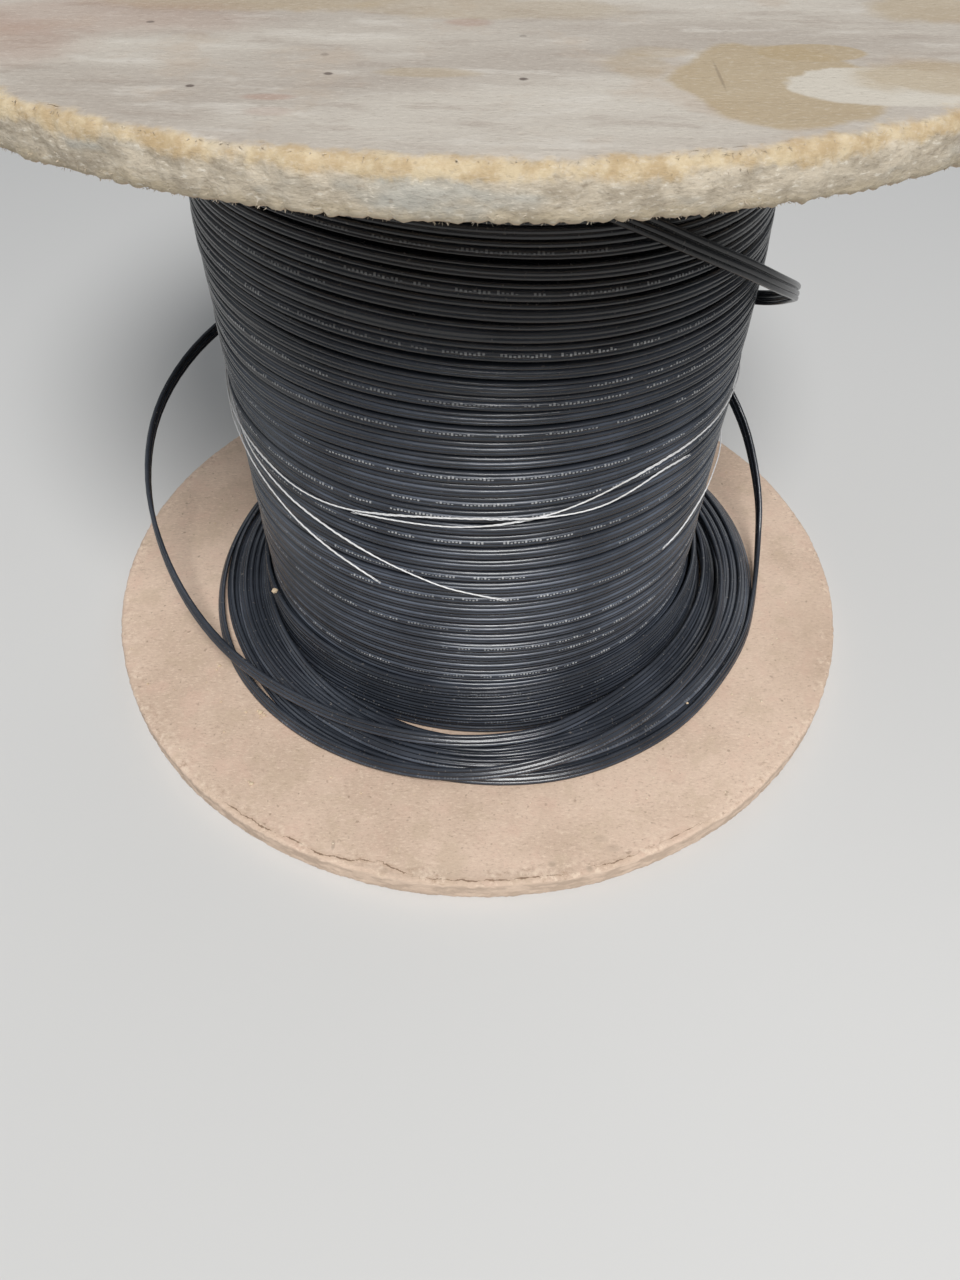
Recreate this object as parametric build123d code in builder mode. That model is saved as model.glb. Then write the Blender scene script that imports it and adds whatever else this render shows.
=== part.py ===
from build123d import *
import os
from math import cos, radians, sin, tan

# Wooden cable drum, standing on its lower flange, part used.
# Millimetres. The origin is at the middle of the lower flange's underside,
# +Z is the drum's axis and -Y is the side that faces the viewer.

# Flanges: raw fibreboard discs
flange_radius = 160.0
flange_thickness = 10.0
flange_gap = 233.0
rim_bevel = 1.5
spindle_hole_radius = 20.0

# Core: a cardboard tube that sits in a groove turned in each flange
core_radius = 60.0
core_wall = 5.0
groove_depth = 2.0
groove_clearance = 0.2

# Tie rods that pull the flanges onto the core, with sunk washers and thin nuts
rod_count = 4
rod_radius = 3.0
rod_circle_radius = 38.0
rod_start_angle = 45.0
rod_hole_clearance = 0.3
rod_end_inset = 0.3
washer_radius = 9.0
washer_thickness = 1.6
nut_across_flats = 10.0
nut_height = 3.2
thread_clearance = 0.1
counterbore_clearance = 1.0
counterbore_depth = 5.3

# Flat drop cable and its winding
cable_width = 5.2
cable_thickness = 2.0
winding_radius = 91.0
winding_core_clearance = 0.1
winding_end_clearance = 0.2
turn_edge_round = 0.9
parting_width = 1.2

# How far the winding swells or sinks, by share of its height from the foot
swell = (
    (0.00, 0.0),
    (0.12, -0.4),
    (0.30, 0.2),
    (0.52, 0.9),
    (0.70, 1.3),
    (0.82, 0.2),
    (0.92, -1.2),
    (1.00, -1.6),
)

# Turns, counted from the foot, above which the next turn has parted
parted_turns = (5, 12, 18, 25, 31, 37)

# Slack turns that have slid down round the winding's foot
loose_centre = (4.0, -1.0)
loose_inner_radius = 96.5
loose_outer_radius = 119.5
loose_outer_height = 5.4
loose_ridge_height = 10.8
loose_inner_height = 13.0
loose_step_radius = 113.0
loose_ridge_radius = 108.0

# White binder threads on the winding
thread_diameter = 0.9

# Points of the free stretches: angle round the drum from the viewer's side
# towards +X in degrees, distance from the axis, height above the lower flange
slack_loop_points = (
    (66, 125.4, 2.9),
    (80, 127.0, 3.2),
    (92, 130.5, 7.0),
    (101, 131.5, 26.0),
    (113, 127.5, 55.0),
    (132, 122.0, 78.0),
    (153, 120.5, 89.0),
    (176, 121.5, 93.0),
    (199, 126.0, 91.5),
    (221, 132.0, 86.5),
    (241, 137.5, 79.5),
    (259, 140.0, 69.0),
    (274, 138.5, 53.5),
    (287, 131.5, 33.5),
    (301, 121.5, 18.0),
    (318, 113.5, 13.6),
    (337, 110.0, 14.4),
    (356, 108.8, 14.2),
)
top_loop_points = (
    (-4, 92.4, 221.0),
    (12, 93.6, 212.0),
    (26, 95.2, 200.0),
    (40, 97.0, 188.0),
    (54, 101.0, 175.0),
    (68, 106.5, 160.5),
    (83, 109.5, 144.5),
    (98, 105.0, 129.0),
    (113, 99.5, 119.0),
    (128, 96.6, 113.5),
    (144, 95.4, 110.5),
)
white_thread_points = (
    (
        (5, 92.4, 71.0), (-8, 92.6, 77.0), (-21, 93.0, 82.5), (-36, 93.6, 89.5),
        (-53, 94.4, 95.0), (-66, 94.6, 103.5), (-84, 95.4, 110.0), (-108, 95.8, 114.5),
        (-134, 95.8, 117.0), (-160, 95.8, 118.5), (-186, 95.8, 119.0), (-212, 95.8, 118.5),
        (-238, 95.8, 117.5), (-262, 95.4, 116.0), (-282, 95.2, 117.5), (-302, 95.0, 118.6),
        (-320, 94.6, 116.5), (-338, 94.2, 110.5), (-352, 93.8, 106.0), (-368, 93.6, 103.6),
        (-383, 93.2, 102.8),
    ),
    (
        (-22, 92.6, 72.5), (-34, 93.2, 77.8), (-47, 93.8, 84.8), (-60, 94.4, 92.5),
        (-74, 94.9, 102.0), (-92, 95.4, 107.0), (-114, 95.6, 111.0),
    ),
    (
        (47, 93.2, 112.0), (36, 94.2, 112.2), (24, 95.0, 107.4), (10, 95.2, 108.8),
        (-5, 93.8, 110.6), (-20, 93.6, 106.0), (-33, 93.4, 102.0), (-46, 93.4, 102.6),
        (-60, 94.4, 106.5), (-76, 95.0, 112.5), (-96, 95.2, 117.0),
    ),
    (
        (46, 92.4, 70.2), (54, 92.6, 70.2), (64, 93.4, 75.0), (78, 94.2, 80.0),
        (96, 94.8, 84.0), (118, 95.0, 87.0),
    ),
)

# What follows from the sizes above
inner_face_top = flange_thickness + flange_gap
drum_height = flange_gap + 2 * flange_thickness
counterbore_radius = washer_radius + counterbore_clearance
rod_hole_radius = rod_radius + rod_hole_clearance
winding_height = flange_gap - 2 * winding_end_clearance
turns_high = int(winding_height // cable_width)
turn_pitch = winding_height / turns_high

os.makedirs("parts", exist_ok=True)


def save(piece, name):
    piece.part.label = name
    export_step(piece.part, "parts/" + name + ".step")


def on_drum(angle, distance, height):
    """A point by its angle round the drum, its distance and its height."""
    turn = radians(angle)
    return Vector(distance * sin(turn), -distance * cos(turn), flange_thickness + height)


def corner_radii(points):
    """The largest arc that each corner's two runs leave room for."""
    radii = []
    for before, corner, after in zip(points, points[1:], points[2:]):
        run_in = corner - before
        run_out = after - corner
        half_turn = radians(run_in.get_angle(run_out)) / 2
        radii.append(0.45 * min(run_in.length, run_out.length) / tan(half_turn))
    return radii


def report_route(name, points, radii, line, solid, section_area):
    """Print a cord's radii and compare its volume with section times length."""
    runs = [(b - a).length for a, b in zip(points, points[1:])]
    print(name, "radii", [round(r) for r in radii])
    print(name, "runs", [round(r) for r in runs], "length", round(line.length, 1))
    print(name, "volume over section times length", round(solid.volume / (section_area * line.length), 4))


def swell_at(share):
    """How far the winding stands out at a share of its height."""
    for (low, low_swell), (high, high_swell) in zip(swell, swell[1:]):
        if share <= high:
            return low_swell + (high_swell - low_swell) * (share - low) / (high - low)
    return swell[-1][1]


def drum_flange(outer_plane):
    """A flange disc with its spindle hole, core groove and sunk tie rod holes."""
    inner_plane = outer_plane.offset(-flange_thickness)
    with BuildPart() as disc:
        with BuildSketch(outer_plane):
            Circle(flange_radius)
            Circle(spindle_hole_radius, mode=Mode.SUBTRACT)
        extrude(amount=-flange_thickness)
        rim_edges = disc.edges().filter_by(GeomType.CIRCLE).sort_by(SortBy.RADIUS)[-2:]
        chamfer(rim_edges, length=rim_bevel)
        with BuildSketch(inner_plane):
            Circle(core_radius + groove_clearance)
            Circle(core_radius - core_wall - groove_clearance, mode=Mode.SUBTRACT)
        extrude(amount=groove_depth, mode=Mode.SUBTRACT)
        with Locations(outer_plane):
            with PolarLocations(rod_circle_radius, rod_count, start_angle=rod_start_angle):
                CounterBoreHole(
                    radius=rod_hole_radius,
                    counter_bore_radius=counterbore_radius,
                    counter_bore_depth=counterbore_depth,
                    depth=flange_thickness,
                )
    return disc


# Flanges: their counterbored faces look outwards
lower_outer_face = Plane(origin=(0, 0, 0), x_dir=(1, 0, 0), z_dir=(0, 0, -1))
upper_outer_face = Plane.XY.offset(drum_height)
save(drum_flange(lower_outer_face), "bottom_flange")
save(drum_flange(upper_outer_face), "top_flange")

# Cardboard core
with BuildPart() as core_tube:
    with BuildSketch(Plane.XY.offset(flange_thickness - groove_depth)):
        Circle(core_radius)
        Circle(core_radius - core_wall, mode=Mode.SUBTRACT)
    extrude(amount=flange_gap + 2 * groove_depth)
save(core_tube, "core_tube")


def tie_rod(centre):
    """A threaded rod from one counterbore to the other."""
    with BuildPart() as rod:
        with BuildSketch(Plane.XY.offset(rod_end_inset)):
            with Locations(centre):
                Circle(rod_radius)
        extrude(amount=drum_height - 2 * rod_end_inset)
    return rod


def washer(centre, base_height):
    with BuildPart() as ring:
        with BuildSketch(Plane.XY.offset(base_height)):
            with Locations(centre):
                Circle(washer_radius)
                Circle(rod_hole_radius, mode=Mode.SUBTRACT)
        extrude(amount=washer_thickness)
    return ring


def thin_nut(centre, base_height):
    with BuildPart() as nut:
        with BuildSketch(Plane.XY.offset(base_height)):
            with Locations(centre):
                RegularPolygon(nut_across_flats / 2, 6, major_radius=False)
                Circle(rod_radius + thread_clearance, mode=Mode.SUBTRACT)
        extrude(amount=nut_height)
    return nut


# Tie rods with a washer and a thin nut sunk in each flange
rod_angles = [radians(rod_start_angle + 360 * k / rod_count) for k in range(rod_count)]
rod_centres = [(rod_circle_radius * cos(a), rod_circle_radius * sin(a)) for a in rod_angles]
bottom_seat = counterbore_depth
top_seat = drum_height - counterbore_depth
for number, centre in enumerate(rod_centres, start=1):
    save(tie_rod(centre), f"tie_rod_{number}")
    save(washer(centre, bottom_seat - washer_thickness), f"washer_bottom_{number}")
    save(washer(centre, top_seat), f"washer_top_{number}")
    save(thin_nut(centre, bottom_seat - washer_thickness - nut_height), f"nut_bottom_{number}")
    save(thin_nut(centre, top_seat + washer_thickness), f"nut_top_{number}")

# Wound cable: one turned solid with its bore, grooved where turns have parted
winding_foot = flange_thickness + winding_end_clearance
winding_bore = core_radius + winding_core_clearance
outline = [(winding_bore, winding_foot)]
outline.append((winding_radius + swell_at(0) - turn_edge_round, winding_foot))
outline.append((winding_radius + swell_at(0), winding_foot + turn_edge_round))
for turn in parted_turns:
    height = winding_foot + turn * turn_pitch
    crest = winding_radius + swell_at(turn / turns_high)
    outline.append((crest, height - parting_width / 2))
    outline.append((crest - turn_edge_round, height))
    outline.append((crest, height + parting_width / 2))
winding_head = winding_foot + winding_height
outline.append((winding_radius + swell_at(1), winding_head - turn_edge_round))
outline.append((winding_radius + swell_at(1) - turn_edge_round, winding_head))
outline.append((winding_bore, winding_head))

with BuildPart() as cable_winding:
    with BuildSketch(Plane.XZ):
        with BuildLine():
            Polyline(*outline, close=True)
        make_face()
    revolve(axis=Axis.Z)
save(cable_winding, "cable_winding")

# Slack turns round the foot: the outer shape of the bundle, off the drum's axis
loose_plane = Plane(
    origin=(loose_centre[0], loose_centre[1], flange_thickness),
    x_dir=(1, 0, 0),
    z_dir=(0, -1, 0),
)
with BuildPart() as loose_turns:
    with BuildSketch(loose_plane):
        with BuildLine():
            Polyline(
                (loose_inner_radius, 0),
                (loose_outer_radius, 0),
                (loose_outer_radius, loose_outer_height),
                (loose_step_radius, loose_outer_height + cable_thickness),
                (loose_ridge_radius, loose_ridge_height),
                (loose_inner_radius + cable_thickness, loose_inner_height),
                (loose_inner_radius, loose_inner_height - cable_thickness),
                close=True,
            )
        make_face()
    revolve(axis=Axis((loose_centre[0], loose_centre[1], 0), (0, 0, 1)))
save(loose_turns, "loose_turns")


def flat_cable(name, polar_points):
    """A free stretch of the flat cable, its broad side upright."""
    points = [on_drum(*point) for point in polar_points]
    radii = corner_radii(points)
    with BuildPart() as cable:
        with BuildLine() as route:
            FilletPolyline(*points, radius=radii)
        path = route.wire()
        along = path % 0
        upright = Vector(0, 0, 1) - along * along.Z
        with BuildSketch(Plane(origin=path @ 0, x_dir=upright, z_dir=along)):
            Rectangle(cable_width, cable_thickness)
        sweep(path=path)
    report_route(name, points, radii, path, cable.part, cable_width * cable_thickness)
    return cable


def round_thread(name, polar_points):
    """A white binder thread, laid round the winding."""
    points = [on_drum(*point) for point in polar_points]
    radii = corner_radii(points)
    with BuildPart() as strand:
        with BuildLine() as route:
            FilletPolyline(*points, radius=radii)
        path = route.wire()
        with BuildSketch(Plane(origin=path @ 0, z_dir=path % 0)):
            RegularPolygon(thread_diameter / 2, 4)
        sweep(path=path)
    report_route(name, points, radii, path, strand.part, thread_diameter ** 2 / 2)
    return strand


# The slack turn that stands up behind, and the one out from under the upper flange
save(flat_cable("slack_loop", slack_loop_points), "slack_loop")
save(flat_cable("top_loop", top_loop_points), "top_loop")

# White binder threads
for number, thread_points in enumerate(white_thread_points, start=1):
    name = f"white_thread_{number}"
    save(round_thread(name, thread_points), name)
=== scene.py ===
from math import acos, atan2, cos, degrees, exp, floor, hypot, pi, radians, sin
import random

import bmesh
import bpy
from mathutils import Matrix, Vector, noise


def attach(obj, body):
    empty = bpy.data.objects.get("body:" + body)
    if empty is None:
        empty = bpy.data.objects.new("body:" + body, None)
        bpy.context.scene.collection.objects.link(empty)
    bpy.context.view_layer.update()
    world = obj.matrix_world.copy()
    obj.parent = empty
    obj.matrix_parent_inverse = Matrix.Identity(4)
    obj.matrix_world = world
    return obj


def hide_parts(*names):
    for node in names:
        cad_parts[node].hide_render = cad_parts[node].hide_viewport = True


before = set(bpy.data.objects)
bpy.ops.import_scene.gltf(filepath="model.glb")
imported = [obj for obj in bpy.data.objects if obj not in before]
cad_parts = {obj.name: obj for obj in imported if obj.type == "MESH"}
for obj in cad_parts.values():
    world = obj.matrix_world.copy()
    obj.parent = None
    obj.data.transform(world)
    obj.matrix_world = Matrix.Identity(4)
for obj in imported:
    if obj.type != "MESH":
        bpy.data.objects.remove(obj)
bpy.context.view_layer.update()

# Camera: above and in front of the drum, looking steeply down past the upper
# flange, so that only the front slice of that flange is in the picture.
eye_point = Vector((0.0, -0.31125, 0.31406))
look_down = radians(48.855)
look_right = radians(0.214)
camera_roll = radians(0.939)
camera_data = bpy.data.cameras.new("drum_camera")
camera_data.lens = 26.47
camera_data.sensor_width = 36.0
camera_data.clip_start = 0.01
camera = bpy.data.objects.new("drum_camera", camera_data)
bpy.context.scene.collection.objects.link(camera)
camera_turn = Matrix.Rotation(-look_right, 4, "Z")
camera_turn = camera_turn @ Matrix.Rotation(radians(90) - look_down, 4, "X")
camera_turn = camera_turn @ Matrix.Rotation(camera_roll, 4, "Z")
camera.matrix_world = Matrix.Translation(eye_point) @ camera_turn
bpy.context.scene.camera = camera
bpy.context.scene.view_settings.view_transform = "Standard"

# Loose turns and slack loop: one length of flat drop cable, about sixteen
# turns that slid down round the winding's foot and lean on each other like
# fallen slats. One turn stands up behind and drops back over the left side.
mm = 0.001
cable_width = 0.0052
cable_thickness = 0.0020
slat_thickness = 0.00208
flange_face = 0.010
foot_radius = 0.0923
upper_layer_base = 0.0051
flare_height = 0.031
flare_reach = 0.0070
ring_middle = (0.004, -0.001)
turn_step = 15
stand_out = 1 / cos(radians(turn_step / 2))


def on_drum(angle, distance, height, middle=(0.0, 0.0)):
    """A point by its angle round the drum, distance and height over the flange."""
    turn = radians(angle)
    x = middle[0] + distance * sin(turn)
    y = middle[1] - distance * cos(turn)
    return Vector((x, y, flange_face + height))


def placed(points, lean=0.0, middle=(0.0, 0.0)):
    """Points and leans, from an angle, a distance and height in mm, and some leans of their own."""
    return [
        (on_drum(angle, distance * mm, height * mm, middle), own[0] if own else lean)
        for angle, distance, height, *own in points
    ]


def eased(share):
    """A share from 0 to 1 that starts and ends softly."""
    return share * share * (3 - 2 * share)


def around(angle, table):
    """A size that changes smoothly round the drum, from angles and sizes."""
    for (low, low_size), (high, high_size) in zip(table, table[1:]):
        if angle <= high:
            share = eased(max(0.0, (angle - low) / (high - low)))
            return low_size + (high_size - low_size) * share
    return table[-1][1]


def wrapped(angle):
    """The same direction as an angle from -180 to 180 degrees."""
    return (angle + 180) % 360 - 180


def slat_lean(spacing):
    """How far turns lean when they lie side by side at a spacing."""
    return acos(min(0.97, slat_thickness / spacing))


def slat_rise(lean):
    """Half the height of a cable that leans."""
    return (cable_width * cos(lean) + cable_thickness * sin(lean)) / 2


def foot_flare(angle, height):
    """How far the winding's lowest turns have sagged outwards, most at the right."""
    high = max(0.0, 1 - height / flare_height)
    return flare_reach * exp(-(wrapped(angle - 86) / 50) ** 2) * high ** 1.2


# Outer and inner turn of the lower layer and of the upper one: angles and mm
lower_outer = (
    (-180, 116.6), (-125, 116.8), (-100, 117.8), (-82, 116.8), (-70, 116.1), (-57, 115.2), (-44, 116.7),
    (-34, 116.8), (-12, 116.0), (13, 118.0), (40, 116.9), (60, 118.6), (85, 121.0), (105, 123.6),
    (125, 124.2), (150, 121.0), (180, 116.6),
)
lower_inner = (
    (-180, 98.4), (-90, 98.4), (-50, 96.8), (-26, 97.0), (-9, 100.8), (0, 100.4), (14, 96.2), (30, 95.6),
    (46, 95.7), (62, 96.6), (90, 98.0), (180, 98.4),
)
upper_outer = (
    (-180, 110.8), (-90, 110.6), (-40, 112.4), (-10, 114.6), (15, 114.4), (50, 112.6), (90, 115.2),
    (120, 116.8), (150, 114.6), (180, 110.8),
)
upper_inner = (
    (-180, 99.5), (-90, 99.2), (-50, 99.4), (-26, 101.0), (-8, 104.6), (3, 104.2), (20, 99.6), (38, 98.2),
    (60, 98.6), (90, 100.2), (180, 99.5),
)
lower_turns = 6.43
upper_turns = 4.45

# Turns that still hug the winding's foot, from the upper one down: their
# heights at these angles, and how far each stands off the foot, in mm
hugging_angles = (-60, -30, 0, 60, 90, 130, 180)
hugging_heights = (
    (21.5, 23.6, 24.6, 25.2, 25.4, 23.6, 19.0), (16.2, 18.2, 19.2, 19.8, 20.2, 18.2, 13.4),
    (10.5, 12.8, 13.7, 14.3, 14.8, 12.6, 8.0), (4.0, 7.4, 8.2, 8.8, 9.2, 7.2, 2.8),
    (2.7, 2.7, 2.7, 2.7, 2.7, 2.7, 2.7),
)
hugging_gaps = (0.3, 0.4, 0.6, 0.8, 0.6)
pushed_out = 2.1

# out of the winding at the back, then down round its foot turn by turn
route = placed(((-190, 88.6, 20.0), (-176, 89.8, 20.2), (-160, 91.2, 20.5)))
for number, aside in enumerate(hugging_gaps):
    heights = tuple(zip(hugging_angles, hugging_heights[number]))
    for angle in range(-180 if number else -145, 180, turn_step):
        height = around(angle, heights)
        off = aside
        if number and angle < -60:
            share = eased((angle + 180) / 120)
            height = hugging_heights[number - 1][-1] * (1 - share) + heights[0][1] * share
            if number == 4:
                off += pushed_out * (1 - share)
        if number == 3 and height < 7.5:
            off += pushed_out * (7.5 - height) / 4.7
        distance = foot_radius + foot_flare(angle, height * mm) + off * mm
        distance += 0.00015 * noise.noise(Vector((angle * 0.02, number * 3.0, 4.0)))
        route.append((on_drum(angle, distance * stand_out, height * mm), 0.08))
# the lowest of them moves out to the lower layer's inner turn
route += placed((
    (-180, 93.6, 2.7, 0.2), (-165, 94.2, 2.6, 0.3), (-150, 94.6, 2.6, 0.4), (-135, 95.0, 2.5, 0.5),
    (-120, 95.1, 2.5, 0.55), (-105, 95.1, 2.5, 0.6),
))
# lower layer, from the inner turn to the outer one
for step in range(154):
    along = -90 + turn_step * step
    angle = wrapped(along)
    slot = (66 + 360 * 6 - along) / 360
    outer = around(angle, lower_outer) * mm
    inner = around(angle, lower_inner) * mm
    lean = slat_lean((outer - inner) / lower_turns) * (0.35 + 0.65 * min(slot, 1))
    distance = outer + (inner - outer) * slot / lower_turns
    distance += 0.00022 * noise.noise(Vector((along * 0.013, 3.1, 0)))
    route.append((on_drum(angle, distance * stand_out, slat_rise(lean) + 0.0001, ring_middle), lean))
# slack loop: up behind the winding, down at its left and over the front
route += placed((
    (66, 122.9, 2.9, 0.3), (80, 124.1, 3.1, 0.2), (92, 127.9, 7.4), (101, 130.7, 26.0), (113, 127.5, 55.0),
    (132, 122.0, 78.0), (153, 120.5, 89.0), (176, 121.5, 93.0), (199, 126.0, 91.5), (221, 132.0, 86.5),
    (241, 137.5, 79.5), (259, 140.0, 69.0), (274, 138.5, 53.5, 0.05), (287, 132.4, 33.2, 0.15),
    (300, 123.6, 16.6, 0.25), (317, 115.4, 13.2, 0.3), (337, 111.7, 14.5, 0.35), (356, 110.0, 14.3, 0.35),
))
# on along the inside of the pile, over the upper layer, and down into it
route += placed((
    (11, 106.4, 14.4), (22, 102.0, 14.6), (33, 98.8, 14.8), (45, 97.4, 15.0), (58, 96.8, 15.0),
    (72, 96.8, 14.9), (86, 97.0, 14.6), (100, 97.4, 14.2), (112, 98.0, 13.8), (125, 98.8, 13.3),
    (140, 98.9, 13.1), (155, 99.0, 13.0), (170, 99.0, 13.0), (185, 99.0, 13.0), (200, 98.9, 13.0),
    (215, 98.9, 13.0), (230, 98.9, 13.0), (245, 98.8, 13.0), (260, 98.8, 13.0), (275, 98.8, 13.0),
    (290, 99.3, 12.7), (304, 100.5, 11.7), (317, 102.2, 10.2), (330, 104.0, 8.5),
), 0.45, ring_middle)
# upper layer, from the inner turn to the outer one
for step in range(108):
    along = -15 + turn_step * step
    angle = wrapped(along)
    outer = around(angle, upper_outer) * mm
    inner = around(angle, upper_inner) * mm
    lean = slat_lean((outer - inner) / upper_turns)
    distance = inner + (outer - inner) * step * turn_step / 360 / upper_turns
    distance += 0.0003 * noise.noise(Vector((along * 0.017, 9.4, 0)))
    height = upper_layer_base + slat_rise(lean) + 0.0002 * noise.noise(Vector((along * 0.02, 5.5, 0)))
    route.append((on_drum(angle, distance * stand_out, height, ring_middle), lean))
# down to the flange outside the others, up over them at the front, and in
route += placed((
    (165, 113.2, 7.7), (180, 115.4, 7.6), (194, 117.4, 6.4), (207, 118.4, 4.6), (221, 118.2, 3.3),
    (236, 118.2, 3.0), (250, 118.4, 2.9), (263, 118.7, 2.9, 0.48), (275, 119.5, 2.9, 0.45),
    (287, 120.6, 2.9, 0.42), (299, 121.2, 2.9, 0.4), (310, 121.0, 2.9, 0.4), (321, 120.2, 2.9, 0.4),
    (331, 119.2, 3.1, 0.4), (341, 118.6, 4.0, 0.4), (351, 118.6, 6.2, 0.4), (361, 118.0, 8.8, 0.4),
    (371, 116.6, 11.2, 0.4), (382, 114.2, 12.8, 0.45), (393, 111.6, 13.1), (405, 109.4, 13.6),
    (418, 107.6, 14.2, 0.45), (431, 105.6, 15.2, 0.4), (445, 103.0, 16.4, 0.3), (459, 99.8, 17.8, 0.2),
    (473, 96.2, 19.2, 0.1), (488, 93.0, 20.0, 0.0), (504, 90.4, 20.4, 0.0),
), 0.5, ring_middle)


def lay_route(name, points, resolution=6):
    """The points along a free cable or thread, which is laid as one smooth open spline."""
    curve = bpy.data.curves.new(name, "CURVE")
    curve.dimensions = "3D"
    curve.resolution_u = resolution
    spline = curve.splines.new("NURBS")
    spline.points.add(len(points) - 1)
    for spline_point, (point, lean) in zip(spline.points, points):
        spline_point.co = (point.x, point.y, point.z, 1)
    spline.order_u = 3
    spline.use_endpoint_u = True
    line = bpy.data.objects.new(name, curve)
    bpy.context.scene.collection.objects.link(line)
    bpy.context.view_layer.update()
    mesh = bpy.data.meshes.new_from_object(line)
    path = [vertex.co.copy() for vertex in mesh.vertices]
    bpy.data.meshes.remove(mesh)
    bpy.data.objects.remove(line)
    return path


def path_length(path):
    """The length of a path of points."""
    return sum((b - a).length for a, b in zip(path, path[1:]))


def path_sides(path, number):
    """Upright and outwards across a path, at one of its points."""
    along = (path[min(number + 1, len(path) - 1)] - path[max(number - 1, 0)]).normalized()
    upright = (Vector((0, 0, 1)) - along * along.z).normalized()
    return upright, along.cross(upright)


def skin_tube(shape, rings):
    """Close rings of vertices to a tube with shut ends; gives the faces of its side."""
    side = []
    for first, second in zip(rings, rings[1:]):
        for corner in range(len(first)):
            following = (corner + 1) % len(first)
            side.append(shape.faces.new((first[corner], first[following], second[following], second[corner])))
    shape.faces.new(list(reversed(rings[0])))
    shape.faces.new(rings[-1])
    return side


def new_piece(name, shape):
    """An object from a finished bmesh, its faces turned outwards."""
    bmesh.ops.recalc_face_normals(shape, faces=shape.faces)
    mesh = bpy.data.meshes.new(name)
    shape.to_mesh(mesh)
    shape.free()
    piece = bpy.data.objects.new(name, mesh)
    bpy.context.scene.collection.objects.link(piece)
    return piece


def pick(*pieces):
    """Select only these pieces and make the first one active."""
    bpy.ops.object.select_all(action="DESELECT")
    for piece in pieces:
        piece.select_set(True)
    bpy.context.view_layer.objects.active = pieces[0]


# The flat cable's section in mm: a body with two strength members, a notch on
# each broad side, a thin web and the round messenger beside it
half_section = (
    (-2.58, 0.45), (-2.38, 0.85), (-1.90, 1.00), (-1.40, 0.98), (-1.06, 0.68), (-0.72, 0.98), (-0.20, 1.00),
    (0.28, 0.86), (0.52, 0.34), (0.82, 0.30), (1.10, 0.74), (1.62, 0.92), (2.18, 0.80), (2.56, 0.38),
)
flat_section = [(w * mm, t * mm) for w, t in half_section]
flat_section += [(w, -t) for w, t in reversed(flat_section)]


def sweep_flat_cable(name, path, leans):
    """Sweep the section along a path; its broad side stands upright or leans."""
    shape = bmesh.new()
    uv_layer = shape.loops.layers.uv.new("along_cable")
    rings = []
    lengths = []
    length = 0.0
    for number, point in enumerate(path):
        upright, outwards = path_sides(path, number)
        place = number / (len(path) - 1) * (len(leans) - 2) + 0.5
        low = min(int(place), len(leans) - 2)
        lean = leans[low] + (leans[low + 1] - leans[low]) * (place - low)
        across = upright * cos(lean) - outwards * sin(lean)
        through = outwards * cos(lean) + upright * sin(lean)
        if number:
            length += (point - path[number - 1]).length
        lengths.append(length)
        rings.append([shape.verts.new(point + across * w + through * t) for w, t in flat_section])
    count = len(flat_section)
    for number, face in enumerate(skin_tube(shape, rings)):
        ring, corner = divmod(number, count)
        for loop, ahead, beside in zip(face.loops, (0, 0, 1, 1), (0, 1, 1, 0)):
            loop[uv_layer].uv = (lengths[ring + ahead], (corner + beside) / count)
    piece = new_piece(name, shape)
    pick(piece)
    bpy.ops.object.shade_smooth_by_angle(angle=radians(58))
    return piece


def set_inputs(node, **inputs):
    """Set a node's inputs by name, or as n0, n1 by number, or link signals to them."""
    for label, value in inputs.items():
        socket = node.inputs[int(label[1:]) if label[1:].isdigit() else label.replace("_", " ")]
        if isinstance(value, Signal):
            node.id_data.links.new(value.socket, socket)
        else:
            socket.default_value = value


def add_node(tree, kind, settings=None, output=0, **inputs):
    """Add a shader node with its options and inputs; gives one of its outputs."""
    node = tree.nodes.new("ShaderNode" + kind)
    for option, value in (settings or {}).items():
        setattr(node, option, value)
    set_inputs(node, **inputs)
    return Signal(node.outputs[output])


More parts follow.
